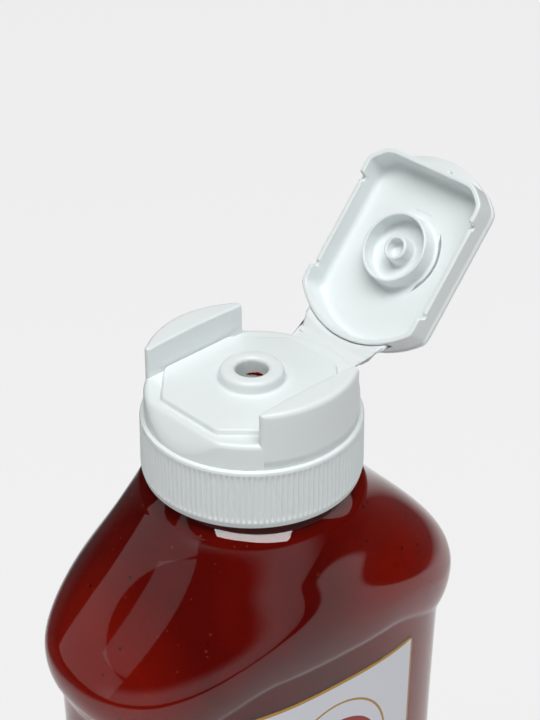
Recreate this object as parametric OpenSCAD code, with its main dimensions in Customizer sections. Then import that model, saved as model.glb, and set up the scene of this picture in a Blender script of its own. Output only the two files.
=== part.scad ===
// Squeeze bottle of ketchup: an oblong clear bottle, its filling, a front and a back label,
// and a ribbed screw cap whose flip-up lid swings on a living hinge.
// +Z is up, the origin is the centre of the base, the label faces -Y and the hinge is at +X.

/* [Bottle] */
// Width across the bulge of the shoulder
bottle_w = 86; // [70:1:110]
// Depth across the bulge of the shoulder
bottle_d = 53.4; // [46:0.2:72]
// Width across the waist that carries the labels
waist_w = 79.4; // [66:0.2:100]
// Depth across the waist that carries the labels
waist_d = 51.6; // [44:0.2:68]
// Height from the base up to the root of the neck
body_h = 157; // [120:1:200]
// Drop from the root of the neck to the widest line of the shoulder
shoulder_h = 29.6; // [22:0.2:40]
// Height of the roll from the widest line in to the waist
roll_h = 8.2; // [5:0.2:12]
// Height of the widest line of the foot above the base
foot_h = 18; // [12:0.5:26]
// How far the base is drawn in from the widest line of the foot
base_inset = 7; // [4:0.5:10]
// Radius of the body at the root of the neck
root_r = 20; // [17:0.1:22]
// Outer radius of the neck inside the cap
neck_r = 16.6; // [14:0.1:17]
// Wall thickness of the bottle
bottle_wall = 0.8; // [0.6:0.1:1.5]
// How square the long faces of the body are
long_face_power = 2.6; // [2.2:0.1:4]
// How square the narrow ends of the body are
end_face_power = 2.2; // [2:0.1:3]
// How much higher the waist reaches on the long faces than at the narrow ends
waist_arch = 9.2; // [0:0.2:12]

/* [Filling] */
// Depth of the filling's level below the rim of the neck
head_space = 7; // [2:0.5:14]

/* [Labels] */
// Width of a label
label_w = 41; // [30:1:50]
// Height of a label
label_h = 84; // [40:1:92]
// Gap between the shoulder roll and the top of a label
label_drop = 6.7; // [3:0.1:14]
// Thickness of a label
label_t = 0.3; // [0.2:0.05:0.5]
// Radius of a label's corners
label_corner = 1.5; // [1:0.5:6]

/* [Cap] */
// Angle that the cap is screwed past straight
cap_turn = 5.5; // [-15:0.5:15]
// Radius over the ribs of the cap's skirt
skirt_r = 20.5; // [19:0.1:23]
// Height of the skirt up to the top of the ribs
skirt_h = 12.1; // [9:0.1:16]
// Wall thickness of the skirt
skirt_wall = 1.7; // [1.2:0.1:2.4]
// Number of ribs round the skirt
rib_count = 126; // [60:2:160]
// Depth of a rib
rib_depth = 0.35; // [0.2:0.05:0.6]
// Height of the plain band below the ribs
band_h = 1.2; // [0.6:0.1:3]
// Gap between the body and the lower edge of the skirt
seam_gap = 0.4; // [0.2:0.1:1]
// Radius of the drum above the skirt
drum_r = 19.6; // [18:0.1:22]
// Height of the drum's ledge above the ribs
ledge_z = 5.2; // [4:0.1:8]
// Height of the raised deck above the ledge
deck_step = 1.0; // [0.4:0.1:2]
// Rise of the deck from its edge to the nozzle
deck_crown = 0.55; // [0:0.05:1]
// Width of the channel between the two wings
channel_w = 29; // [24:0.5:32]
// Height of the wings above the ledge
wing_h = 6.5; // [5.6:0.1:9]
// Distance from the axis to the front end of the wings
wing_front = 12; // [9:0.5:14]
// Distance from the axis to the back end of the wings
wing_back = 11.2; // [8:0.2:13]
// Distance from the axis to the front edge of the deck
deck_front = 15.6; // [13:0.1:17]
// Distance from the axis to the back edge of the deck
deck_back = 15.4; // [13:0.1:17]
// Length that each front corner of the deck is cut back
deck_corner = 7; // [3:0.5:9]
// Length that each back corner of the deck is cut back
deck_back_corner = 8; // [3:0.5:10]
// Slope of the thumb recess in front, in degrees from level
thumb_slope = 58.7; // [40:0.1:75]

/* [Nozzle] */
// Outer radius of the nozzle ring
nozzle_r = 5.9; // [4.5:0.1:7]
// Radius of the hole in the nozzle
orifice_r = 3.0; // [2:0.1:4]
// Height of the nozzle above the deck
nozzle_h = 2.4; // [1.5:0.1:3]

/* [Lid] */
// Angle that the lid stands open, 0 when shut
lid_open = 131; // [0:1:180]
// Clearance round the lid in the channel and above the ledge
lid_gap = 0.15; // [0.1:0.05:0.4]
// Wall thickness of the lid
lid_wall = 0.95; // [0.7:0.05:1.3]
// Thickness of the lid's top plate
lid_top = 1.2; // [0.9:0.1:1.8]
// Length by which the shallow part of the lid's side walls reaches past the side of the deck
lid_notch = 1.2; // [1.1:0.1:3]
// Height cut from the shallow part of the lid's side walls
lid_notch_h = 1.1; // [0.5:0.1:2]
// Clearance of the lid's ring round the nozzle
ring_gap = 0.45; // [0.1:0.05:1]
// Clearance between the shut lid's ring and the deck
ring_lift = 0.25; // [0.1:0.05:1]
// Clearance of the lid's plug in the hole
plug_gap = 0.5; // [0.1:0.05:1]
// Depth that the plug reaches into the nozzle
plug_reach = 1.65; // [0.5:0.05:2]

/* [Hinge] */
// Distance of the hinge line behind the drum's wall
hinge_reach = 1.5; // [1:0.1:2.5]
// Width of the living hinge
hinge_w = 15.6; // [8:0.1:20]
// Thickness of each leaf of the hinge
leaf_t = 0.6; // [0.4:0.05:0.9]

/* [Hidden] */
$fn = 96;

// Colours
clear_tint = [0.86, 0.88, 0.88, 0.35];
sauce_red = [0.38, 0.09, 0.04];
cap_white = [0.91, 0.93, 0.93];
label_white = [0.90, 0.91, 0.93];

// Levels of the body
widest_z = body_h - shoulder_h;
waist_top = widest_z - roll_h;
waist_bottom = foot_h + roll_h;
waist_middle = (waist_top + waist_bottom) / 2;
waist_hollow = 0.8;

// Curve of the shoulder down the narrow ends and down the long faces: how it starts, how it ends
end_bow = [1.38, 1.6];
face_bow = [2.1, 1.1];

// Arch of the waist: flat share of its width, share over which it falls, how far up it reaches
arch_flat = 0.32;
arch_fall = 0.6;
arch_reach = 0.72;

// Levels of the cap, above the base
skirt_z = body_h + seam_gap;
rib_top = skirt_z + skirt_h;
ledge = rib_top + ledge_z;
deck_edge = ledge + deck_step;
deck_top = deck_edge + deck_crown;
nozzle_top = deck_top + nozzle_h;
cap_top = ledge + wing_h;
deck_under = rib_top + 3.2;
drum_inner_r = skirt_r - rib_depth - skirt_wall;
neck_clear = 0.1;

// The hinge line runs along Y behind the drum, level with the ledge
hinge_x = drum_r + hinge_reach;
hinge_bead = 0.35;

// The shut lid: its front wall, side walls, ring and plug follow the deck, the nozzle and the hole
lid_floor = cap_top - lid_top;
lid_front = deck_front + lid_wall + lid_gap;
notch_half = deck_front - deck_corner + lid_notch;
ring_r = nozzle_r + ring_gap;
ring_h = lid_floor - deck_top - ring_lift;
plug_r = orifice_r - plug_gap;
plug_h = lid_floor - nozzle_top + plug_reach;

// Small parts of the lid
ring_wall = 0.6;
plug_wall = 0.8;
nub_y = 3.9;
nub_set = 0.15;
nub_r = 0.7;
nub_h = 2.4;

// Neck of the bottle: its rim stops just under the deck
neck_rim = deck_under - neck_clear;
fill_level = neck_rim - head_space;

// Sections of the body have sides_n corners, in rings that crowd together at the shoulder
sides_n = 44;
shoulder_rings = 9;
roll_rings = 4;
waist_rings = 5;
foot_rings = 4;

// Fraction of the way out that a shoulder has spread at a fraction t of its drop
function spread(t, bow) = pow(1 - pow(max(0, 1 - t), bow[0]), bow[1]);

// Quarter of an ellipse: 1 at t = 0 and 0 at t = 1
function quarter(t) = sqrt(max(0, 1 - t * t));

// Smooth step from 0 at t = 0 to 1 at t = 1
function ease(t) = let (u = min(1, max(0, t))) u * u * (3 - 2 * u);

// Half size of the body at height z, from its half sizes at the bulge and at the waist
function half_size(z, bulge, waist, bow) =
    z >= widest_z ? root_r + (bulge - root_r) * spread((body_h - z) / shoulder_h, bow)
    : z >= waist_top ? waist + (bulge - waist) * quarter((widest_z - z) / roll_h)
    : z >= waist_bottom
        ? waist - waist_hollow * sin(180 * (z - waist_bottom) / (waist_top - waist_bottom))
    : z >= foot_h ? waist + (bulge - waist) * quarter((z - foot_h) / roll_h)
    : bulge - base_inset * (1 - quarter(1 - z / foot_h));

// How far the section has changed from round at the neck to oblong at the bulge
function oblong(z) = min(1, (body_h - z) / shoulder_h);

// Share of the waist's arch that a level z takes: all at the waist's top, none at its middle
function arch_share(z) =
    z >= waist_top
        ? 1 - ease((z - waist_top) / (arch_reach * (body_h - waist_top)))
        : ease((z - waist_middle) / (waist_top - waist_middle));

// How far a point at share x of the half width is raised by the arch of the long faces
function arch_lift(x, z) = waist_arch * (1 - ease((abs(x) - arch_flat) / arch_fall)) * arch_share(z);

// Corner i of the section at height z, drawn in by inset
function corner(i, z, inset) =
    let (
        p = 2 + (long_face_power - 2) * oblong(z),
        q = 2 + (end_face_power - 2) * oblong(z),
        c = cos(360 * i / sides_n),
        s = sin(360 * i / sides_n),
        x = sign(c) * pow(abs(c), 2 / p),
        y = sign(s) * pow(abs(s), 2 / q),
        half_x = half_size(z, bottle_w / 2, waist_w / 2, end_bow) - inset,
        half_y = half_size(z, bottle_d / 2, waist_d / 2, face_bow) - inset
    ) [half_x * x, half_y * y, z + arch_lift(x, z)];

// Heights of the rings from a floor level up to a level at the root of the neck
function ring_levels(floor_z, root_z) = concat(
    [for (k = [0 : foot_rings - 1]) floor_z + (foot_h - floor_z) * (1 - cos(90 * k / foot_rings))],
    [for (k = [0 : roll_rings - 1]) foot_h + roll_h * sin(90 * k / roll_rings)],
    [for (k = [0 : waist_rings - 1]) waist_bottom + (waist_top - waist_bottom) * k / waist_rings],
    [for (k = [0 : roll_rings - 1]) widest_z - roll_h * cos(90 * k / roll_rings)],
    [for (k = [0 : shoulder_rings]) widest_z + (root_z - widest_z) * k / shoulder_rings]
);

// Outline of the section at height z as a ring of corners
function body_ring(z, inset) = [for (i = [0 : sides_n - 1]) corner(i, z, inset)];
function round_ring(z, r) =
    [for (i = [0 : sides_n - 1]) [r * cos(360 * i / sides_n), r * sin(360 * i / sides_n), z]];

// Closed solid through a list of rings, each of sides_n corners, from the lowest up
module skin(rings) {
    last = len(rings) - 1;
    walls = [
        for (k = [0 : last - 1])
            for (i = [0 : sides_n - 1])
                let (j = (i + 1) % sides_n, a = k * sides_n, b = a + sides_n)
                    each [[a + i, b + i, b + j], [a + i, b + j, a + j]]
    ];
    bottom_face = [for (i = [0 : sides_n - 1]) i];
    top_face = [for (i = [sides_n - 1 : -1 : 0]) last * sides_n + i];
    polyhedron(points = [for (r = rings) each r], faces = concat([bottom_face], walls, [top_face]));
}

// Hollow of the bottle, filled up to a level inside the neck
module hollow(top_z) {
    floor_z = bottle_wall;
    root_z = body_h - 2 * bottle_wall;
    bore_r = neck_r - bottle_wall;
    skin(concat(
        [for (z = ring_levels(floor_z, root_z)) body_ring(z, bottle_wall)],
        [round_ring(body_h - bottle_wall, bore_r), round_ring(top_z, bore_r)]
    ));
}

module bottle() {
    color(clear_tint)
        difference() {
            skin(concat(
                [for (z = ring_levels(0, body_h)) body_ring(z, 0)],
                [round_ring(body_h + 0.2, neck_r), round_ring(neck_rim, neck_r)]
            ));
            hollow(neck_rim + 1);
        }
}

module ketchup() {
    color(sauce_red) hollow(fill_level);
}

// Label: a thin sheet wrapped on the flat of a long face, with rounded corners
module label_sheet() {
    rows = 12;
    cols = 8;
    label_top = waist_top + waist_arch - label_drop;
    label_low = label_top - label_h;
    function sheet_x(u, v) =
        let (edge = min(v, 1 - v) * label_h, short = max(0, label_corner - edge))
            u * (label_w / 2 - label_corner + sqrt(max(0, pow(label_corner, 2) - pow(short, 2))));
    function sheet_z(v) = label_low + label_h * v;
    function face_y(x, z) =
        let (
            half_x = half_size(z, bottle_w / 2, waist_w / 2, end_bow),
            half_y = half_size(z, bottle_d / 2, waist_d / 2, face_bow)
        ) -half_y * pow(1 - pow(abs(x) / half_x, long_face_power), 1 / end_face_power);
    function sheet_point(i, j, out) =
        let (
            u = 2 * i / cols - 1,
            v = (1 - cos(180 * j / rows)) / 2,
            x = sheet_x(u, v),
            z = sheet_z(v)
        ) [x, face_y(x, z) - out, z];
    stride = cols + 1;
    sheet = stride * (rows + 1);
    function cell(a, b, c, d) = [[a, b, c], [a, c, d]];
    points = [
        for (out = [label_t, 0])
            for (j = [0 : rows])
                for (i = [0 : cols]) sheet_point(i, j, out)
    ];
    fronts = [
        for (j = [0 : rows - 1])
            for (i = [0 : cols - 1])
                let (a = j * stride + i)
                    each cell(a, a + stride, a + stride + 1, a + 1)
    ];
    backs = [
        for (j = [0 : rows - 1])
            for (i = [0 : cols - 1])
                let (a = sheet + j * stride + i)
                    each cell(a, a + 1, a + stride + 1, a + stride)
    ];
    sides = [
        for (j = [0 : rows - 1])
            let (a = j * stride, b = a + cols)
                each concat(
                    cell(a, a + sheet, a + sheet + stride, a + stride),
                    cell(b, b + stride, b + sheet + stride, b + sheet)
                )
    ];
    ends = [
        for (i = [0 : cols - 1])
            let (a = i, b = rows * stride + i)
                each concat(
                    cell(a, a + 1, a + sheet + 1, a + sheet),
                    cell(b, b + sheet, b + sheet + 1, b + 1)
                )
    ];
    polyhedron(points = points, faces = concat(fronts, backs, sides, ends));
}

module label_front() {
    color(label_white) label_sheet();
}

module label_back() {
    color(label_white) rotate([0, 0, 180]) label_sheet();
}

// Cross-section of the ribbed skirt, one shallow tooth for each rib
module rib_outline() {
    polygon([
        for (i = [0 : 2 * rib_count - 1])
            let (r = skirt_r - (i % 2) * rib_depth)
                [r * cos(180 * i / rib_count), r * sin(180 * i / rib_count)]
    ]);
}

module skirt() {
    translate([0, 0, skirt_z + band_h])
        linear_extrude(skirt_h - band_h) rib_outline();
    translate([0, 0, skirt_z])
        cylinder(r = skirt_r - rib_depth / 2, h = band_h);
}

// Drum with its ledge, and the two wings that stand on it
module drum() {
    edge = 1.0;
    difference() {
        translate([0, 0, rib_top])
            rotate_extrude()
                union() {
                    square([drum_r, ledge_z - edge]);
                    square([drum_r - edge, ledge_z]);
                    translate([drum_r - edge, ledge_z - edge]) circle(r = edge);
                }
        thumb_recess();
    }
    intersection() {
        translate([0, 0, rib_top])
            rotate_extrude()
                union() {
                    square([drum_r, ledge_z + wing_h - edge]);
                    square([drum_r - edge, ledge_z + wing_h]);
                    translate([drum_r - edge, ledge_z + wing_h - edge]) circle(r = edge);
                }
        for (side = [-1, 1])
            translate([-wing_front, side > 0 ? channel_w / 2 : -drum_r, rib_top])
                cube([wing_front + wing_back, drum_r - channel_w / 2, ledge_z + wing_h]);
    }
}

// Wedge cut from the front of the drum where the thumb lifts the lid
module thumb_recess() {
    lip = deck_front + 1.6;
    translate([-lip, 0, ledge])
        rotate([0, -thumb_slope, 0])
            translate([-2 * drum_r, -drum_r, 0]) cube([2 * drum_r, 2 * drum_r, drum_r]);
}

// Raised eight-sided deck that fills the channel between the wings
module deck() {
    half = channel_w / 2;
    translate([0, 0, ledge - 1])
        linear_extrude(deck_step + 1)
            polygon([
                [-deck_front, half - deck_corner],
                [-deck_front + deck_corner, half],
                [deck_back - deck_back_corner, half],
                [deck_back, half - deck_back_corner],
                [deck_back, deck_back_corner - half],
                [deck_back - deck_back_corner, -half],
                [-deck_front + deck_corner, -half],
                [-deck_front, deck_corner - half]
            ]);
    translate([0, 0, deck_edge])
        cylinder(r1 = min(half, deck_front, deck_back), r2 = nozzle_r, h = deck_crown);
}

// Raised ring round the hole, with a rounded top
module nozzle() {
    round_r = 0.9;
    translate([0, 0, deck_edge])
        rotate_extrude()
            union() {
                square([nozzle_r, deck_crown + nozzle_h - round_r]);
                square([nozzle_r - round_r, deck_crown + nozzle_h]);
                translate([nozzle_r - round_r, deck_crown + nozzle_h - round_r]) circle(r = round_r);
            }
}

// Leaf of the hinge on the cap, with the bead that the lid turns about
module cap_leaf() {
    translate([drum_r - 1.2, -hinge_w / 2, ledge - leaf_t])
        cube([hinge_reach + 1.2, hinge_w, leaf_t]);
    translate([hinge_x, hinge_w / 2, ledge])
        rotate([90, 0, 0]) cylinder(r = hinge_bead, h = hinge_w, $fn = 32);
}

module cap_base() {
    color(cap_white)
        rotate([0, 0, cap_turn]) difference() {
            union() {
                skirt();
                drum();
                deck();
                nozzle();
                cap_leaf();
            }
            translate([0, 0, skirt_z - 1]) cylinder(r = drum_inner_r, h = skirt_h);
            translate([0, 0, skirt_z - 1]) cylinder(r = neck_r + 0.3, h = deck_under - skirt_z + 1);
            translate([0, 0, deck_under - 1]) cylinder(r = orifice_r, h = cap_top - deck_under);
        }
}

// Outline of the shut lid seen from above, drawn in by inset, up to a front limit
module lid_outline(front, inset) {
    intersection() {
        circle(r = drum_r - inset);
        translate([-front, -channel_w / 2 + lid_gap + inset])
            square([front + drum_r, channel_w - 2 * (lid_gap + inset)]);
    }
}

// Ring that hangs from the lid's top plate at level z
module collar(z, drop, r, wall) {
    translate([0, 0, z - drop])
        difference() {
            cylinder(r = r, h = drop + 0.1);
            translate([0, 0, -1]) cylinder(r = r - wall, h = drop + 1);
        }
}

// The lid as it lies when shut
module lid_shut() {
    rim = ledge + lid_gap;
    tab_r = drum_r - 0.4;
    difference() {
        union() {
            translate([0, 0, rim]) linear_extrude(cap_top - rim) lid_outline(lid_front, 0);
            translate([0, 0, lid_floor - 0.3]) linear_extrude(lid_top + 0.3) lid_outline(tab_r, 0.4);
        }
        translate([0, 0, rim - 1])
            linear_extrude(lid_floor - rim + 1) lid_outline(lid_front - lid_wall, lid_wall);
        for (side = [-1, 1])
            translate([-notch_half, side > 0 ? channel_w / 2 - 3 : -channel_w / 2, rim - 1])
                cube([2 * notch_half, 3, lid_notch_h + 1]);
    }
    collar(lid_floor, ring_h, ring_r + ring_wall, ring_wall);
    collar(lid_floor, plug_h, plug_r, plug_wall);
    translate([-lid_front + nub_set, -nub_y, rim]) cylinder(r = nub_r, h = nub_h, $fn = 24);
    translate([drum_r - 0.8, -hinge_w / 2, ledge + lid_gap])
        cube([hinge_reach + 0.3, hinge_w, leaf_t]);
}

module lid() {
    color(cap_white)
        rotate([0, 0, cap_turn])
            translate([hinge_x, 0, ledge])
                rotate([0, lid_open, 0])
                    translate([-hinge_x, 0, -ledge]) lid_shut();
}

bottle();
ketchup();
label_front();
label_back();
cap_base();
lid();
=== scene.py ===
"""Clear squeeze bottle of ketchup with a ribbed screw cap and a flip-up lid: looks, studio and camera.

Lengths in the classes are millimetres; meshes are written in metres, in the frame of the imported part:
+Z up, the origin at the centre of the base, the front label towards -Y and the lid's hinge towards +X.
"""

import logging
import math
from dataclasses import dataclass
from enum import Enum

import bpy
import numpy as np
from mathutils import Matrix, Vector

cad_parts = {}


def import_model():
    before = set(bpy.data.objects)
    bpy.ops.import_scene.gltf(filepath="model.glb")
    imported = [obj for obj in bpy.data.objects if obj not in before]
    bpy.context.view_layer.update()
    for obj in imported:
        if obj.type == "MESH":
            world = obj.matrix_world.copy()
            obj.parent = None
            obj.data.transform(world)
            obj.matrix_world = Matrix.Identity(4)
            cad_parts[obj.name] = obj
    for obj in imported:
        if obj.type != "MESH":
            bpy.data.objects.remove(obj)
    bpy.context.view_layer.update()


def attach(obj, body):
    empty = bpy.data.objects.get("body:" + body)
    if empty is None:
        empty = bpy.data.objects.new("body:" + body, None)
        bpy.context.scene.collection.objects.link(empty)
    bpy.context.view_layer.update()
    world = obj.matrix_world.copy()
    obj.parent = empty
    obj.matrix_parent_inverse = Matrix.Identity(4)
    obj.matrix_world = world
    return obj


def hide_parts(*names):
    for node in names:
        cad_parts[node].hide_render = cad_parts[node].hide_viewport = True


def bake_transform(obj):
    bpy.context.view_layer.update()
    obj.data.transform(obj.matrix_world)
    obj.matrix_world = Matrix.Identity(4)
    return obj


LOG = logging.getLogger("ketchup_bottle")
MM = 0.001
TAU = 2.0 * math.pi


class Closure(Enum):
    """How a grid of rows is closed: with a pole at each end, or from its last row round to its first."""

    POLES = "poles"
    LOOP = "loop"


# ---------------------------------------------------------------- numbers and curves


def to_linear(hex_code: str) -> tuple[float, float, float, float]:
    """Turn an sRGB hex colour such as "#c0ffee" into linear red, green, blue and an alpha of one.

    Args:
        hex_code: six hex digits after a hash sign.

    Returns:
        Linear red, green, blue and alpha.
    """
    parts = [int(hex_code[i : i + 2], 16) / 255.0 for i in (1, 3, 5)]
    linear = [c / 12.92 if c <= 0.04045 else ((c + 0.055) / 1.055) ** 2.4 for c in parts]
    return linear[0], linear[1], linear[2], 1.0


def ease(t: np.ndarray) -> np.ndarray:
    """Smooth step from 0 at t = 0 to 1 at t = 1."""
    u = np.clip(t, 0.0, 1.0)
    return u * u * (3.0 - 2.0 * u)


def soft_min(a: np.ndarray, b: np.ndarray, blend: float) -> np.ndarray:
    """Lesser of two heights, with the crease between them rounded over a blend distance."""
    h = np.maximum(blend - np.abs(a - b), 0.0) / blend
    return np.minimum(a, b) - h * h * blend / 4.0


def fillet_path(corners: list[tuple[float, float, float]], arc_points: int = 6) -> np.ndarray:
    """Open path through corners, each turned into an arc that is tangent to both of its sides.

    Args:
        corners: first coordinate, second coordinate and fillet radius of each corner.
        arc_points: points on each arc.

    Returns:
        Array of points, shape (n, 2).
    """
    pts = np.array([c[:2] for c in corners], float)
    out = [pts[0]]
    for i in range(1, len(pts) - 1):
        radius = corners[i][2]
        a, b = pts[i - 1] - pts[i], pts[i + 1] - pts[i]
        la, lb = np.linalg.norm(a), np.linalg.norm(b)
        if radius <= 0.0 or min(la, lb) < 1e-9:
            out.append(pts[i])
            continue
        a, b = a / la, b / lb
        half = 0.5 * math.acos(float(np.clip(a @ b, -1.0, 1.0)))
        reach = min(radius / math.tan(half), 0.49 * la, 0.49 * lb)
        centre = pts[i] + (a + b) / np.linalg.norm(a + b) * (reach / math.cos(half))
        start, stop = pts[i] + a * reach - centre, pts[i] + b * reach - centre
        sweep = math.atan2(start[0] * stop[1] - start[1] * stop[0], float(start @ stop))
        turn = np.linspace(0.0, sweep, arc_points)
        cos, sin = np.cos(turn), np.sin(turn)
        arc = np.stack([start[0] * cos - start[1] * sin, start[0] * sin + start[1] * cos], axis=1)
        out.extend(centre + arc)
    out.append(pts[-1])
    return np.array(out)


def densify(path: np.ndarray, step: float) -> np.ndarray:
    """Add points along the straight runs of a path, so that no two neighbours are too far apart.

    Args:
        path: points of the path, shape (n, 2).
        step: greatest distance between neighbours.

    Returns:
        Array of points, shape (m, 2), with every point of the path in it.
    """
    gaps = np.linalg.norm(np.diff(path, axis=0), axis=1)
    counts = np.maximum(1, np.ceil(gaps / step)).astype(int)
    start = np.repeat(np.arange(len(gaps)), counts)
    within = np.arange(len(start)) - np.repeat(np.cumsum(counts) - counts, counts)
    t = (within / counts[start])[:, None]
    return np.vstack([path[start] * (1.0 - t) + path[start + 1] * t, path[-1:]])


def star_radius(
    phi: np.ndarray, sides: list[tuple[float, float]], circle: float, power: float
) -> np.ndarray:
    """Distance from the axis to a convex outline, in each direction phi, with slightly rounded corners.

    The outline is the inside of a circle and of straight sides, each given by the direction of its
    normal and its distance. The least distance is taken as a high power mean, which rounds the corners.

    Args:
        phi: directions in radians.
        sides: direction of the normal in radians and distance from the axis, of each straight side.
        circle: radius of the circle.
        power: a larger one makes sharper corners.

    Returns:
        Distances, of the shape of phi.
    """
    total = np.full_like(phi, circle ** -power)
    for direction, distance in sides:
        facing = np.maximum(np.cos(phi - direction), 1e-6)
        total = total + (facing / distance) ** power
    return total ** (-1.0 / power)


# ---------------------------------------------------------------- meshes


def grid_faces(rows: int, columns: int, closure: Closure, first: int) -> list[tuple[int, ...]]:
    """Faces of a grid whose columns go round anticlockwise, seen from beyond its last row.

    Args:
        rows: number of rows.
        columns: number of points in a row.
        closure: how the first and last rows are closed. Poles are the two vertices after the grid.
        first: index of the grid's first vertex.

    Returns:
        Vertex indices of each face.
    """
    index = first + np.arange(rows * columns).reshape(rows, columns)
    low = index if closure is Closure.LOOP else index[:-1]
    high = np.roll(index, -1, axis=0) if closure is Closure.LOOP else index[1:]
    quads = np.stack([low, np.roll(low, -1, 1), np.roll(high, -1, 1), high], axis=-1).reshape(-1, 4)
    faces = [tuple(q) for q in quads.tolist()]
    if closure is Closure.POLES:
        pole = first + rows * columns
        ring, after = index[0], np.roll(index[0], -1)
        faces += np.stack([np.full(columns, pole), after, ring], axis=1).tolist()
        ring, after = index[-1], np.roll(index[-1], -1)
        faces += np.stack([ring, after, np.full(columns, pole + 1)], axis=1).tolist()
    return faces


def build_mesh(name: str, shells: list[tuple[np.ndarray, Closure]]) -> bpy.types.Object:
    """Make one object of closed shells, each a grid of points in millimetres.

    Args:
        name: the object's name.
        shells: grid of points of shape (rows, columns, 3), and how it is closed.

    Returns:
        The new object, linked to the scene, smooth shaded, at the origin.
    """
    points: list[np.ndarray] = []
    faces: list[tuple[int, ...]] = []
    count = 0
    for grid, closure in shells:
        rows, columns = grid.shape[:2]
        block = grid.reshape(-1, 3)
        if closure is Closure.POLES:
            block = np.vstack([block, grid[0].mean(axis=0), grid[-1].mean(axis=0)])
        faces += grid_faces(rows, columns, closure, count)
        points.append(block)
        count += len(block)
    mesh = bpy.data.meshes.new(name)
    mesh.from_pydata((np.vstack(points) * MM).tolist(), [], faces)
    mesh.polygons.foreach_set("use_smooth", np.ones(len(mesh.polygons), bool))
    mesh.validate()
    mesh.update()
    piece = bpy.data.objects.new(name, mesh)
    bpy.context.scene.collection.objects.link(piece)
    LOG.info("%s: %d faces", name, len(mesh.polygons))
    return piece


def add_node(
    tree: bpy.types.NodeTree,
    kind: str,
    settings: dict[str, object] | None = None,
    inputs: dict[str | int, object] | None = None,
) -> bpy.types.Node:
    """Add a shader node.

    Args:
        tree: the node tree.
        kind: the node's type name.
        settings: properties of the node.
        inputs: what each input socket gets: a value, or the output socket that is linked to it.

    Returns:
        The node.
    """
    node = tree.nodes.new(kind)
    for key, value in (settings or {}).items():
        setattr(node, key, value)
    for key, value in (inputs or {}).items():
        if isinstance(value, bpy.types.NodeSocket):
            tree.links.new(value, node.inputs[key])
        else:
            node.inputs[key].default_value = value
    return node


def new_material(name: str, values: dict[str, object]) -> tuple[bpy.types.Material, bpy.types.Node]:
    """Make a material with one Principled shader.

    Args:
        name: the material's name.
        values: values of the shader's sockets.

    Returns:
        The material and its shader node.
    """
    material = bpy.data.materials.new(name)
    material.use_nodes = True
    material.node_tree.nodes.clear()
    shader = add_node(material.node_tree, "ShaderNodeBsdfPrincipled", inputs=values)
    add_node(material.node_tree, "ShaderNodeOutputMaterial", inputs={"Surface": shader.outputs[0]})
    return material, shader


# ---------------------------------------------------------------- finishes


@dataclass(frozen=True)
class ClearPet:
    """Stretch-blown PET: glass clear and even, with the bright gloss of a polished mould."""

    tint: str = "#fbfbfb"
    roughness: float = 0.03
    ior: float = 1.57

    def material(self) -> bpy.types.Material:
        """Clear plastic that only its reflections show."""
        values = {"Base Color": to_linear(self.tint), "Roughness": self.roughness, "IOR": self.ior}
        return new_material("pet_blown_clear", values | {"Transmission Weight": 1.0})[0]


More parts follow.
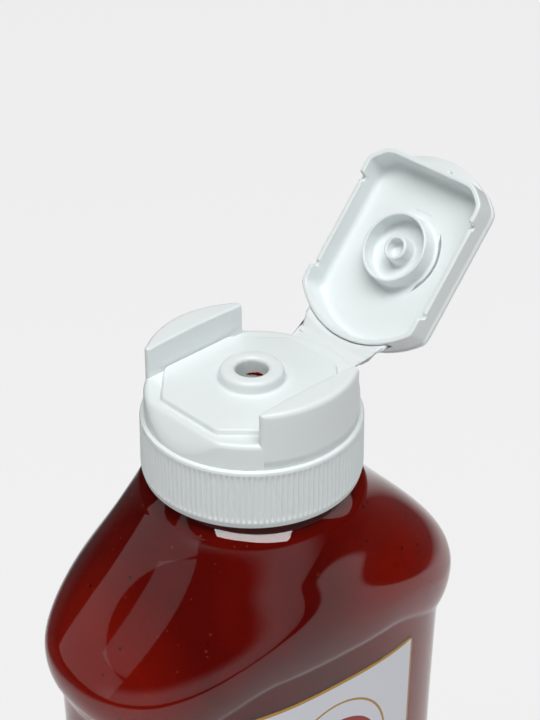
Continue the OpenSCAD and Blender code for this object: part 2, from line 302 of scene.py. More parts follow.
@dataclass(frozen=True)
class TomatoKetchup:
    """Ketchup pressed against the wall: deep red and opaque, with orange pulp and dark spice specks.

    A lighter, warmer red takes over in two stretches of X, towards both narrow ends, as painted light
    for the light that the ends catch. It also takes over in clouds, which are the sauce's own uneven tone.
    Each is given as where it starts, where it is full and its share when full; the stretches are in
    millimetres and the clouds in noise.
    """

    deep: str = "#7a0a02"
    # This lighter red serves both the clouds of uneven tone and the painted light at the narrow ends.
    warm_tone_and_painted_light: str = "#b01c06"
    pulp: str = "#a43e18"
    spice: str = "#3c0502"
    roughness: float = 0.5
    ior: float = 1.38
    gloss: float = 0.02
    # The two stretches below are painted light: a lighter red towards both narrow ends, where the sauce
    # catches more light. The clouds are the sauce's own uneven tone.
    painted_light_back_end: tuple[float, float, float] = (0.0, 20.0, 0.9)
    painted_light_front_end: tuple[float, float, float] = (-26.0, -35.0, 0.7)
    warm_cloud: tuple[float, float, float] = (0.45, 0.75, 0.4)
    cloud_mm: float = 28.0
    speck_mm: float = 1.7

    def material(self) -> bpy.types.Material:
        """Sauce whose colour changes slowly, lighter at both narrow ends as painted light, and carries fine
        specks.

        The lighter red's share is the greater of the two painted-light stretches at the ends, plus the clouds
        of uneven tone. A layer of specks shows a few of the cells of a pattern, each as a soft dot round the
        cell's middle.

        Returns:
            The material.
        """
        values = {"Base Color": to_linear(self.deep), "Roughness": self.roughness, "IOR": self.ior}
        material, shader = new_material("tomato_ketchup", values | {"Specular IOR Level": self.gloss})
        tree = material.node_tree
        place = add_node(tree, "ShaderNodeTexCoord").outputs["Object"]
        clouds = {"Vector": place, "Scale": 1.0 / (self.cloud_mm * MM), "Detail": 3.0, "Roughness": 0.5}
        noise = add_node(tree, "ShaderNodeTexNoise", inputs=clouds).outputs["Fac"]
        along = add_node(tree, "ShaderNodeSeparateXYZ", inputs={0: place}).outputs["X"]
        # back and front are the painted-light stretches towards the narrow ends; cloud is the sauce's uneven
        # tone.
        back, front, cloud = (
            add_node(
                tree,
                "ShaderNodeMapRange",
                inputs={0: source, 1: start * unit, 2: full * unit, 3: 0.0, 4: share},
            ).outputs[0]
            for source, unit, (start, full, share) in (
                (along, MM, self.painted_light_back_end), (along, MM, self.painted_light_front_end), (noise, 1.0, self.warm_cloud)
            )
        )
        # Painted light at the narrow ends: the greater of the two stretches.
        ends = add_node(tree, "ShaderNodeMath", {"operation": "MAXIMUM"}, {0: back, 1: front}).outputs[0]
        tone_and_painted_light = add_node(
            tree, "ShaderNodeMath", {"operation": "ADD", "use_clamp": True}, {0: ends, 1: cloud}
        ).outputs[0]
        # The lighter red over the deep one: painted light at the ends, uneven tone in the clouds.
        shades = {0: tone_and_painted_light, 6: to_linear(self.deep), 7: to_linear(self.warm_tone_and_painted_light)}
        colour = add_node(tree, "ShaderNodeMix", {"data_type": "RGBA"}, shades).outputs[2]
        # colour, shift of the pattern in metres, cell in speck sizes, where a dot starts and is full,
        # and the share of cells without one
        for shade, shift, cells, start, full, empty in (
            (self.pulp, 0.11, 1.0, 0.20, 0.08, 0.93),
            (self.pulp, 0.23, 0.5, 0.26, 0.12, 0.96),
            (self.spice, 0.37, 1.1, 0.24, 0.10, 0.93),
        ):
            moved = add_node(
                tree, "ShaderNodeMapping", inputs={"Vector": place, "Location": (shift, shift, shift)}
            ).outputs[0]
            cell = add_node(
                tree,
                "ShaderNodeTexVoronoi",
                inputs={"Vector": moved, "Scale": 1.0 / (self.speck_mm * cells * MM), "Randomness": 1.0},
            )
            dot = add_node(
                tree, "ShaderNodeMapRange", inputs={0: cell.outputs["Distance"], 1: start, 2: full}
            ).outputs[0]
            chance = add_node(tree, "ShaderNodeSeparateXYZ", inputs={0: cell.outputs["Color"]}).outputs[0]
            chosen = add_node(
                tree, "ShaderNodeMath", {"operation": "GREATER_THAN"}, {0: chance, 1: empty}
            ).outputs[0]
            speck = add_node(
                tree, "ShaderNodeMath", {"operation": "MULTIPLY"}, {0: dot, 1: chosen}
            ).outputs[0]
            shades = {0: speck, 6: colour, 7: to_linear(shade)}
            colour = add_node(tree, "ShaderNodeMix", {"data_type": "RGBA"}, shades).outputs[2]
        tree.links.new(colour, shader.inputs["Base Color"])
        return material


@dataclass(frozen=True)
class MouldedPolypropylene:
    """Injection-moulded white polypropylene: cool white and softly glossy, with a faintly uneven skin."""

    tint: str = "#e9efef"
    roughness: float = 0.36
    ior: float = 1.49
    grain_mm: float = 0.5
    grain_depth_mm: float = 0.04
    grain_strength: float = 0.06

    def material(self) -> bpy.types.Material:
        """White plastic whose skin a fine noise bends a little.

        Returns:
            The material.
        """
        values = {"Base Color": to_linear(self.tint), "Roughness": self.roughness, "IOR": self.ior}
        material, shader = new_material("polypropylene_moulded_white", values)
        tree = material.node_tree
        place = add_node(tree, "ShaderNodeTexCoord").outputs["Object"]
        grain = {"Vector": place, "Scale": 1.0 / (self.grain_mm * MM), "Detail": 2.0}
        height = add_node(tree, "ShaderNodeTexNoise", inputs=grain).outputs["Fac"]
        skin = {"Height": height, "Strength": self.grain_strength, "Distance": self.grain_depth_mm * MM}
        tree.links.new(add_node(tree, "ShaderNodeBump", inputs=skin).outputs[0], shader.inputs["Normal"])
        return material


@dataclass(frozen=True)
class HingeFilm:
    """The same polypropylene drawn thin at the hinge, where it lets a little light through."""

    tint: str = "#f4f8f8"
    roughness: float = 0.3
    ior: float = 1.49
    clear: float = 0.12

    def material(self) -> bpy.types.Material:
        """Milky thin plastic."""
        values = {"Base Color": to_linear(self.tint), "Roughness": self.roughness, "IOR": self.ior}
        return new_material("polypropylene_hinge_film", values | {"Transmission Weight": self.clear})[0]


@dataclass(frozen=True)
class LabelPrint:
    """Satin printed film: a silver-white field in a gold rule, with plain ovals where print would be.

    An oval is its half width and half height in millimetres, about a point below the label's top.
    """

    field: str = "#e4e6ee"
    gold: str = "#b8893a"
    red: str = "#a01818"
    roughness: float = 0.38
    ior: float = 1.5
    oval_drop: float = 19.0
    gold_oval: tuple[float, float] = (13.0, 14.0)
    field_oval: tuple[float, float] = (12.5, 13.5)
    red_oval: tuple[float, float] = (10.5, 9.5)

    def material(self, label: "Label") -> bpy.types.Material:
        """Fields of colour laid out in millimetres on the label's own plane.

        Places are scaled so that a field's edge lies at one. An oval is where the distance from its
        middle is less; the rule is where the greater of the distances across and up is more.

        Args:
            label: the label that carries the print.

        Returns:
            The material.
        """
        values = {"Base Color": to_linear(self.field), "Roughness": self.roughness, "IOR": self.ior}
        material, shader = new_material("label_film_printed", values)
        tree = material.node_tree
        place = add_node(tree, "ShaderNodeTexCoord").outputs["Object"]
        centre, middle = label.top - self.oval_drop, label.top - label.height / 2
        inside = (label.width / 2 - label.rule, label.height / 2 - label.rule)
        colour: object = to_linear(self.field)
        for shade, (half_x, half_z), level in (
            (self.gold, self.gold_oval, centre),
            (self.field, self.field_oval, centre),
            (self.red, self.red_oval, centre),
            (self.gold, inside, middle),
        ):
            scale = (1.0 / (half_x * MM), 0.0, 1.0 / (half_z * MM))
            lay = {"Vector": place, "Scale": scale, "Location": (0.0, 0.0, -level / half_z)}
            laid = add_node(tree, "ShaderNodeMapping", inputs=lay).outputs[0]
            if half_x == inside[0]:
                apart = add_node(tree, "ShaderNodeVectorMath", {"operation": "ABSOLUTE"}, {0: laid})
                parts = add_node(tree, "ShaderNodeSeparateXYZ", inputs={0: apart.outputs[0]}).outputs
                reach = add_node(
                    tree, "ShaderNodeMath", {"operation": "MAXIMUM"}, {0: parts["X"], 1: parts["Z"]}
                ).outputs[0]
                test = "GREATER_THAN"
            else:
                length = add_node(tree, "ShaderNodeVectorMath", {"operation": "LENGTH"}, {0: laid})
                reach, test = length.outputs["Value"], "LESS_THAN"
            mask = add_node(tree, "ShaderNodeMath", {"operation": test}, {0: reach, 1: 1.0}).outputs[0]
            shades = {0: mask, 6: colour, 7: to_linear(shade)}
            colour = add_node(tree, "ShaderNodeMix", {"data_type": "RGBA"}, shades).outputs[2]
        tree.links.new(colour, shader.inputs["Base Color"])
        return material


# ---------------------------------------------------------------- bottle and filling


@dataclass
class BottleBody:
    """The oblong body: a round neck root that spreads to a bulge, an arched waist, and a foot.

    A section is |x / a|^p + |y / b|^q = 1, where the half sizes a and b and both powers change with
    height, and the waist is arched up on the long faces. The fields arch_flat, arch_fall and arch_reach
    are shares, a bow is two powers, soft_ and pinch_ fields ease the creases and draw in the shoulder
    just under the closure, and neck_root is radii and rises of the rings that turn up into the neck.
    """

    width: float = 86.0
    depth: float = 53.4
    waist_width: float = 79.4
    waist_depth: float = 51.6
    height: float = 157.0
    shoulder: float = 29.6
    roll: float = 8.2
    foot: float = 18.0
    base_inset: float = 7.0
    root_radius: float = 20.0
    neck_radius: float = 16.6
    wall: float = 0.8
    long_power: float = 2.6
    end_power: float = 2.2
    arch: float = 9.2
    arch_flat: float = 0.32
    arch_fall: float = 0.6
    arch_reach: float = 0.72
    end_bow: tuple[float, float] = (1.38, 1.6)
    face_bow: tuple[float, float] = (2.1, 1.1)
    hollow: float = 0.8
    neck_rim: float = 172.6
    head_space: float = 7.0
    pinch_end: float = 1.6
    pinch_face: float = 2.9
    pinch_h: float = 2.8
    pinch_power: float = 1.25
    soft_end: float = 1.6
    soft_face: float = 0.35
    neck_root: tuple[tuple[float, float], ...] = ((17.6, 0.3), (17.1, 0.5), (16.7, 1.0), (16.6, 2.0))
    push_up: float = 1.6
    overlap: float = 0.12
    columns: int = 240
    outer_step: float = 0.75
    inner_step: float = 0.95

    @property
    def widest(self) -> float:
        """Level of the widest line of the shoulder."""
        return self.height - self.shoulder

    @property
    def waist_top(self) -> float:
        """Level of the waist's top at the narrow ends."""
        return self.widest - self.roll

    @property
    def waist_bottom(self) -> float:
        """Level of the waist's bottom."""
        return self.foot + self.roll

    def half_size(self, z: np.ndarray, bulge: float, waist: float, bow: tuple[float, float]) -> np.ndarray:
        """Half size at level z, between that of the bulge and that of the waist.

        The shoulder is nearly straight, the rolls are quarter ellipses and the waist is hollow.

        Args:
            z: levels above the base.
            bulge: half size at the widest lines of the shoulder and the foot.
            waist: half size at the top and the bottom of the waist.
            bow: powers of the shoulder's curve, for how it starts and how it ends.

        Returns:
            Half sizes, of the shape of z.
        """
        t = np.clip((self.height - z) / self.shoulder, 0.0, 1.0)
        shoulder = self.root_radius + (bulge - self.root_radius) * (1.0 - (1.0 - t) ** bow[0]) ** bow[1]
        upper = waist + (bulge - waist) * np.sqrt(np.clip(1 - ((self.widest - z) / self.roll) ** 2, 0, 1))
        share = np.clip((z - self.waist_bottom) / (self.waist_top - self.waist_bottom), 0, 1)
        middle = waist - self.hollow * np.sin(math.pi * share)
        lower = waist + (bulge - waist) * np.sqrt(np.clip(1 - ((z - self.foot) / self.roll) ** 2, 0, 1))
        foot = bulge - self.base_inset * (1 - np.sqrt(np.clip(1 - (1 - z / self.foot) ** 2, 0, 1)))
        return np.select(
            [z >= self.widest, z >= self.waist_top, z >= self.waist_bottom, z >= self.foot],
            [shoulder, upper, middle, lower],
            foot,
        )

    def lift(self, x: np.ndarray, z: np.ndarray) -> np.ndarray:
        """How far the arch of the long faces raises a point.

        Args:
            x: places across, as shares of the half width.
            z: levels of the points before they are raised.

        Returns:
            Rises, which are least at the narrow ends and below the waist's middle.
        """
        middle = (self.waist_top + self.waist_bottom) / 2
        above = 1 - ease((z - self.waist_top) / (self.arch_reach * (self.height - self.waist_top)))
        below = ease((z - middle) / (self.waist_top - middle))
        share = np.where(z >= self.waist_top, above, below)
        return self.arch * (1 - ease((np.abs(x) - self.arch_flat) / self.arch_fall)) * share

    def profile(self, levels: np.ndarray) -> tuple[np.ndarray, np.ndarray, np.ndarray]:
        """Half width, half depth and level of each ring, with the creases eased as a blown wall eases them.

        The two half sizes are averaged over a bell-shaped stretch of height: wide on the narrow ends,
        short on the long faces.

        Args:
            levels: levels of the rings.

        Returns:
            Half widths, half depths and the levels.
        """
        fine = np.linspace(0.0, self.height, 3141)
        step = fine[1] - fine[0]
        eased = []
        for bulge, waist, soft, bow in (
            (self.width / 2, self.waist_width / 2, self.soft_end, self.end_bow),
            (self.depth / 2, self.waist_depth / 2, self.soft_face, self.face_bow),
        ):
            half = int(3 * soft / step)
            bell = np.exp(-0.5 * (np.arange(-half, half + 1) * step / soft) ** 2)
            raw = self.half_size(fine, bulge, waist, bow)
            before, after = 2 * raw[0] - raw[half:0:-1], 2 * raw[-1] - raw[-2 : -half - 2 : -1]
            padded = np.concatenate([before, raw, after])
            eased.append(np.interp(levels, fine, np.convolve(padded, bell / bell.sum(), "valid")))
        share = np.clip((levels - self.height + self.pinch_h) / self.pinch_h, 0, 1)
        drawn = share**self.pinch_power
        return eased[0] - self.pinch_end * drawn, eased[1] - self.pinch_face * drawn, levels

    def levels(self, low: float, high: float, coarse: float) -> np.ndarray:
        """Levels of rings between two levels, close together at the rolls and the foot.

        Args:
            low: the first level.
            high: the last level.
            coarse: spacing on the shoulder; the waist's is four times that and the rolls' a third.

        Returns:
            The levels, rising.
        """
        fine = coarse / 3.0
        stretches = [
            (low, low + 3.0, fine),
            (low + 3.0, self.foot, coarse),
            (self.foot, self.waist_bottom + 2.0, fine),
            (self.waist_bottom + 2.0, self.waist_top - 3.0, coarse * 4.0),
            (self.waist_top - 3.0, self.widest + 1.0, fine),
            (self.widest + 1.0, self.height - self.pinch_h, coarse),
            (self.height - self.pinch_h, high, fine),
        ]
        runs = [np.linspace(a, b, max(2, int((b - a) / s)), endpoint=False) for a, b, s in stretches]
        return np.concatenate(runs + [np.array([high])])

    def rings(self, levels: np.ndarray, inset: float, columns: int) -> np.ndarray:
        """Points of the body's rings.

        Args:
            levels: level of each ring before the waist's arch raises it.
            inset: how far the rings are drawn in from the outer wall.
            columns: points in a ring.

        Returns:
            Points, shape (levels, columns, 3).
        """
        a, b, z = (v[:, None] for v in self.profile(levels))
        angle = TAU * np.arange(columns)[None, :] / columns
        oblong = np.minimum(1.0, (self.height - z) / self.shoulder)
        p = 2 + (self.long_power - 2) * oblong
        q = 2 + (self.end_power - 2) * oblong
        c, s = np.cos(angle), np.sin(angle)
        x = np.sign(c) * np.abs(c) ** (2 / p)
        y = np.sign(s) * np.abs(s) ** (2 / q)
        return np.stack([(a - inset) * x, (b - inset) * y, z + self.lift(x, z)], axis=-1)

    def face_depth(self, x: np.ndarray, z: np.ndarray) -> np.ndarray:
        """Distance from the middle plane to the long face.

        The level that the arch raised to z is found by steps: each takes off the rise that it gives.

        Args:
            x: places across.
            z: levels, of the same shape.

        Returns:
            Distances, of the same shape.
        """
        level = z.copy()
        for _ in range(12):
            a, b = self.profile(level.ravel())[:2]
            a, b = a.reshape(z.shape), b.reshape(z.shape)
            level = z - self.lift(x / a, level)
        return b * (1 - np.abs(x / a) ** self.long_power) ** (1 / self.end_power)

    def round_rings(self, steps: list[tuple[float, float]], columns: int) -> np.ndarray:
        """Circular rings.

        Args:
            steps: radius and level of each ring.
            columns: points in a ring.

        Returns:
            Points, shape (steps, columns, 3).
        """
        angle = TAU * np.arange(columns) / columns
        ring = np.stack([np.cos(angle), np.sin(angle)], axis=-1)
        rows = [np.column_stack([ring * r, np.full(columns, z)]) for r, z in steps]
        return np.array(rows)

    def base_rings(self, outline: np.ndarray, push_up: float) -> np.ndarray:
        """Rings from the middle of the base out to its outline, with a shallow push-up in the middle.

        Args:
            outline: points of the outline, shape (columns, 3).
            push_up: height of the push-up.

        Returns:
            Points, shape (rings, columns, 3).
        """
        share = np.array([0.05, 0.3, 0.55, 0.72, 0.8, 0.86, 0.92, 0.98])[:, None, None]
        rings = outline[None] * share
        rings[..., 2] = outline[:, 2].mean() + push_up * (1 - ease((share[..., 0] - 0.55) / 0.35))
        return rings

    def shell(self) -> bpy.types.Object:
        """The clear wall: outer skin, neck rim and inner skin as one closed surface.

        Returns:
            The wall.
        """
        columns = self.columns
        outer = self.rings(self.levels(0.0, self.height, self.outer_step), 0.0, columns)
        root = [(radius, self.height + rise) for radius, rise in self.neck_root]
        neck = self.round_rings(root + [(self.neck_radius, self.neck_rim)], columns)
        bore = self.neck_radius - self.wall
        inner_neck = self.round_rings([(bore, self.neck_rim), (bore, self.height - self.wall)], columns)
        top = self.height - 2 * self.wall
        inner = self.rings(self.levels(self.wall, top, self.inner_step), self.wall, columns)[::-1]
        floor = self.base_rings(inner[-1], self.push_up)[::-1]
        base = self.base_rings(outer[0], self.push_up)
        grid = np.concatenate([base, outer, neck, inner_neck, inner, floor])
        return build_mesh("bottle_wall", [(grid, Closure.POLES)])

    def filling(self) -> bpy.types.Object:
        """The ketchup: the hollow up to its level, reaching just into the wall so that no air shows.

        Returns:
            The filling.
        """
        columns = self.columns
        inset = self.wall - self.overlap
        levels = self.levels(self.wall, self.height - 2 * self.wall, self.inner_step)
        sides = self.rings(levels, inset, columns)
        sides[:4, :, 2] -= self.overlap
        bore = self.neck_radius - inset
        level = self.neck_rim - self.head_space
        neck = self.round_rings([(bore, self.height - self.wall), (bore, level - 0.6)], columns)
        top = self.round_rings([(bore - 0.5, level - 0.1), (bore - 2.0, level), (4.0, level)], columns)
        grid = np.concatenate([self.base_rings(sides[0], self.push_up), sides, neck, top])
        return build_mesh("ketchup_filling", [(grid, Closure.POLES)])


@dataclass
class Label:
    """A film label on a long face: straight edges, small round corners, a gold rule and plain print."""

    body: BottleBody
    width: float = 41.0
    height: float = 84.0
    top: float = 121.7
    corner: float = 1.5
    rule: float = 0.6
    sunk: float = 0.15
    proud: float = 0.14

    def outline(self, columns: int) -> np.ndarray:
        """Points round the label's edge about its middle, evenly spaced.

        Args:
            columns: number of points.

        Returns:
            Points, shape (columns, 2).
        """
        w, h, r = self.width / 2, self.height / 2, self.corner
        loop = [(w, 0, 0), (w, h, r), (-w, h, r), (-w, -h, r), (w, -h, r), (w, 0, 0)]
        path = densify(fillet_path(loop, 8), 0.05)
        walk = np.concatenate([[0], np.cumsum(np.linalg.norm(np.diff(path, axis=0), axis=1))])
        at = np.linspace(0, walk[-1], columns, endpoint=False)
        return np.stack([np.interp(at, walk, path[:, i]) for i in (0, 1)], axis=-1)

    def sheet(self, name: str, facing: float) -> bpy.types.Object:
        """The label as a thin closed skin laid on the wall.

        Args:
            name: the piece's name.
            facing: -1 for the front and 1 for the back.

        Returns:
            The label.
        """
        edge = self.outline(500)
        under, over = -self.sunk, self.proud
        shares = [(0.02, under), (0.3, under), (0.65, under), (0.985, under), (1.0, -0.12), (1.0, 0.08)]
        shares += [(0.996, over - 0.01)] + [(s, over) for s in np.linspace(0.98, 0.02, 26)]
        rows = []
        for share, out in shares:
            x, z = edge[:, 0] * share, edge[:, 1] * share + self.top - self.height / 2
            depth = self.body.face_depth(x, z) + out
            rows.append(np.stack([x * -facing, depth * facing, z], axis=-1))
        grid = np.array(rows)
        return build_mesh(name, [(grid, Closure.POLES)])


# ---------------------------------------------------------------- closure


@dataclass
class CapPlace:
    """Where the closure sits: its axis is the bottle's, its zero level the top of the ribs."""

    rib_top: float = 169.5
    turn_deg: float = 5.5
    hinge_d: float = 21.1
    hinge_z: float = 5.2
    open_deg: float = 131.0

    def on_bottle(self, grid: np.ndarray) -> np.ndarray:
        """Turn points from the closure's own axes into the bottle's frame.

        Args:
            grid: points, of any shape that ends in 3.

        Returns:
            The turned points, of the same shape.
        """
        turn = math.radians(self.turn_deg)
        c, s = math.cos(turn), math.sin(turn)
        x, y, z = grid[..., 0], grid[..., 1], grid[..., 2]
        return np.stack([c * x - s * y, s * x + c * y, z + self.rib_top], axis=-1)

    def swing(self, grid: np.ndarray) -> np.ndarray:
        """Swing points of the shut lid about the hinge line to where the lid stands open.

        Args:
            grid: points in the closure's own axes, of any shape that ends in 3.

        Returns:
            The swung points, of the same shape.
        """
        angle = math.radians(self.open_deg)
        c, s = math.cos(angle), math.sin(angle)
        x, z = grid[..., 0] - self.hinge_d, grid[..., 2] - self.hinge_z
        return np.stack([self.hinge_d + c * x + s * z, grid[..., 1], self.hinge_z - s * x + c * z], axis=-1)


@dataclass
class CapBase:
    """Ribbed skirt, drum with its thumb recess, eight-sided deck with the nozzle, and two wings."""

    place: CapPlace
    ribs: int = 126
    skirt_radius: float = 20.55
    skirt_height: float = 12.1
    rib_depth: float = 0.34
    drum_radius: float = 19.6
    ledge: float = 5.2
    deck: float = 6.2
    crown: float = 0.55
    deck_end: float = 15.6
    front_corner: float = 16.3
    back_corner: float = 15.6
    nozzle_radius: float = 5.9
    nozzle_height: float = 2.4
    hole_radius: float = 3.0
    channel: float = 14.5
    corner_power: float = 70.0
    underside: float = 3.2
    recess_front: float = 17.2
    recess_slope: float = 58.7
    recess_blend: float = 0.7
    drum_edge: float = 1.0
    drum_foot: float = -0.8
    wing_front: float = -12.0
    wing_back: float = 11.2
    wing_top: float = 11.65
    wing_foot: float = 0.6
    wing_fall: float = 0.35
    wing_end_round: float = 0.32
    wing_outer_round: float = 1.0
    wing_inner_round: float = 0.45

    def skirt(self) -> np.ndarray:
        """The skirt as a ring: a lathe profile whose outer face is pressed in between the ribs.

        The radius is the profile's, less the rib depth times a rounded wave round the skirt, faded out
        to nothing over the plain band below and over the rounded upper ends of the ribs.

        Returns:
            Points, shape (profile, columns, 3).
        """
        h, r = self.skirt_height, self.skirt_radius
        path = fillet_path(
            [
                (18.5, -3.0, 0), (18.5, -h, 0.25), (r - 0.45, -h, 0.35), (r - 0.1, -h + 1.25, 0.25),
                (r, -h + 1.75, 0.2), (r - 0.08, -0.55, 0.3), (r - 0.18, 0.0, 0.3), (19.3, 0.12, 0.1),
                (18.5, 0.1, 0),
            ],
            6,
        )
        path = densify(path, 0.55)
        columns = self.ribs * 10
        phi = TAU * np.arange(columns) / columns
        radius, z = path[:, :1], path[:, 1:]
        wave = 0.5 - 0.5 * np.cos(self.ribs * phi)[None, :]
        outer = (radius > r - 0.9).astype(float)
        fade = ease((z + h - 1.35) / 0.5) * ease((-0.75 - z) / 0.45)
        radius = radius - self.rib_depth * (1.0 - wave**1.8) * fade * outer
        return np.stack([radius * np.cos(phi), radius * np.sin(phi), z + 0.0 * radius], axis=-1)

    def recess(self, d: np.ndarray) -> np.ndarray:
        """Height of the thumb recess's sloping plane at distance d along the channel."""
        return self.ledge + (d + self.recess_front) * math.tan(math.radians(self.recess_slope))

    def drum(self) -> np.ndarray:
        """Hole, nozzle, deck, ledge, recess and drum wall as one closed surface.

        Every row is a distance from the axis in each direction. Up to the nozzle rows are circles; the
        deck's follow its eight-sided outline; from its foot they spread back to the drum's circle, with
        the height cut off by the recess plane and rounded over at the drum's edge.

        Returns:
            Points, shape (rows, columns, 3).
        """
        columns = 960
        phi = TAU * np.arange(columns) / columns
        half_turns = (1.0, 0.0, 0.5, -0.5, 0.75, -0.75, 0.25, -0.25)
        reach = (self.deck_end, self.deck_end, self.channel + 0.05, self.channel + 0.05)
        reach += (self.front_corner, self.front_corner, self.back_corner, self.back_corner)
        sides = [(turn * math.pi, distance) for turn, distance in zip(half_turns, reach)]

        def deck_outline(inset: float) -> np.ndarray:
            """The deck's eight sides, drawn in by inset."""
            inner_sides = [(a, d - inset) for a, d in sides]
            return star_radius(phi, inner_sides, 19.4 - inset, self.corner_power)

        rn, top = self.nozzle_radius, self.deck + self.crown + self.nozzle_height
        hole, under = self.hole_radius, self.underside
        path = fillet_path(
            [
                (hole, under, 0), (hole, top, 0.85), (rn - 0.1, top, 0.95),
                (rn + 0.1, self.deck + self.crown, 0.55),
                (8.0, self.deck + self.crown - 0.02, 0), (12.0, self.deck + 0.3, 0),
                (15.55, self.deck, 0.45), (15.85, self.ledge, 0.3), (16.1, self.ledge, 0),
            ],
            7,
        )
        path = densify(path, 0.6)
        rows, heights = [], []
        for r, z in path:
            w = float(ease(np.array((r - 8.0) / 4.0)))
            rows.append((1 - w) * r + w * deck_outline(15.9 - r))
            heights.append(np.full(columns, z))
        foot = rows[-1]
        edge, blend = self.drum_edge, self.recess_blend
        rim = self.drum_radius - edge
        ledge = np.full(columns, self.ledge)
        cos = np.cos(phi)
        for t in np.linspace(0.04, 1.0, 26):
            radius = np.maximum(foot + (rim - foot) * t, foot)
            rows.append(radius)
            heights.append(soft_min(ledge, self.recess(radius * cos), blend))
        for a in np.linspace(0.0, 0.5 * math.pi, 10)[1:]:
            radius = np.full(columns, rim + edge * math.sin(a))
            rows.append(radius)
            drop = edge * (1 - math.cos(a))
            heights.append(soft_min(ledge, self.recess(radius * cos), blend) - drop)
        last = heights[-1]
        for t in (0.25, 0.5, 0.75, 1.0):
            rows.append(np.full(columns, self.drum_radius))
            heights.append(last + (self.drum_foot - last) * t)
        for r, z in ((18.3, self.drum_foot), (17.4, -0.4), (17.0, 3.0), (16.5, under), (6.0, under)):
            rows.append(np.full(columns, r))
            heights.append(np.full(columns, z))
        radius, z = np.array(rows), np.array(heights)
        return np.stack([radius * np.cos(phi), radius * np.sin(phi), z], axis=-1)[::-1]

    def wing(self, side: int) -> np.ndarray:
        """One wing, swept along the channel.

        The section runs up the outer wall, over a large fillet, across the top, over a small fillet and
        down the channel wall. It is widest in the middle, because the outer wall follows the drum.

        Args:
            side: 1 for the far wing and -1 for the near one.

        Returns:
            Points, shape (stations, section, 3).
        """
        length = self.wing_back - self.wing_front
        end = self.wing_end_round
        ends = np.array([0.0, 0.03, 0.1, 0.2, end])
        stations = np.concatenate([ends, np.linspace(0.6, length - 0.6, 70), length - ends[::-1]])
        d = self.wing_front + stations
        near_end = np.minimum(stations, length - stations)
        shrink = end - np.sqrt(np.clip(end**2 - (end - np.minimum(near_end, end)) ** 2, 0, None))
        outer = np.sqrt((self.drum_radius + 0.015) ** 2 - d**2) - shrink
        inner = self.channel + shrink
        top = self.wing_top - self.wing_fall * (d / self.wing_front) ** 2 - shrink
        width = outer - inner
        ro = np.minimum(self.wing_outer_round, 0.5 * width)
        ri = np.minimum(self.wing_inner_round, 0.35 * width)
        low = np.full_like(d, self.wing_foot)
        quarter = np.linspace(0.0, 0.5 * math.pi, 9)
        n_parts, z_parts = [], []
        for t in np.linspace(0.0, 1.0, 8)[:-1]:
            n_parts.append(outer)
            z_parts.append(low + (top - ro - low) * t)
        for a in quarter:
            n_parts.append(outer - ro + ro * math.cos(a))
            z_parts.append(top - ro + ro * math.sin(a))
        for t in np.linspace(0.0, 1.0, 6)[1:-1]:
            n_parts.append(outer - ro + (inner + ri - outer + ro) * t)
            z_parts.append(top)
        for a in quarter:
            n_parts.append(inner + ri - ri * math.sin(a))
            z_parts.append(top - ri + ri * math.cos(a))
        for t in np.linspace(0.0, 1.0, 8)[1:]:
            n_parts.append(inner - 0.05 * t)
            z_parts.append(top - ri + (low - top + ri) * t)
        n, z = np.array(n_parts).T, np.array(z_parts).T
        grid = np.stack([np.repeat(d[:, None], n.shape[1], axis=1), n * side, z], axis=-1)
        return grid if side > 0 else grid[:, ::-1]

    def build(self) -> bpy.types.Object:
        """The closure's fixed part as one object."""
        shells = [
            (self.place.on_bottle(self.skirt()), Closure.LOOP),
            (self.place.on_bottle(self.drum()), Closure.LOOP),
            (self.place.on_bottle(self.wing(1)), Closure.POLES),
            (self.place.on_bottle(self.wing(-1)), Closure.POLES),
        ]
        return build_mesh("cap_with_nozzle", shells)


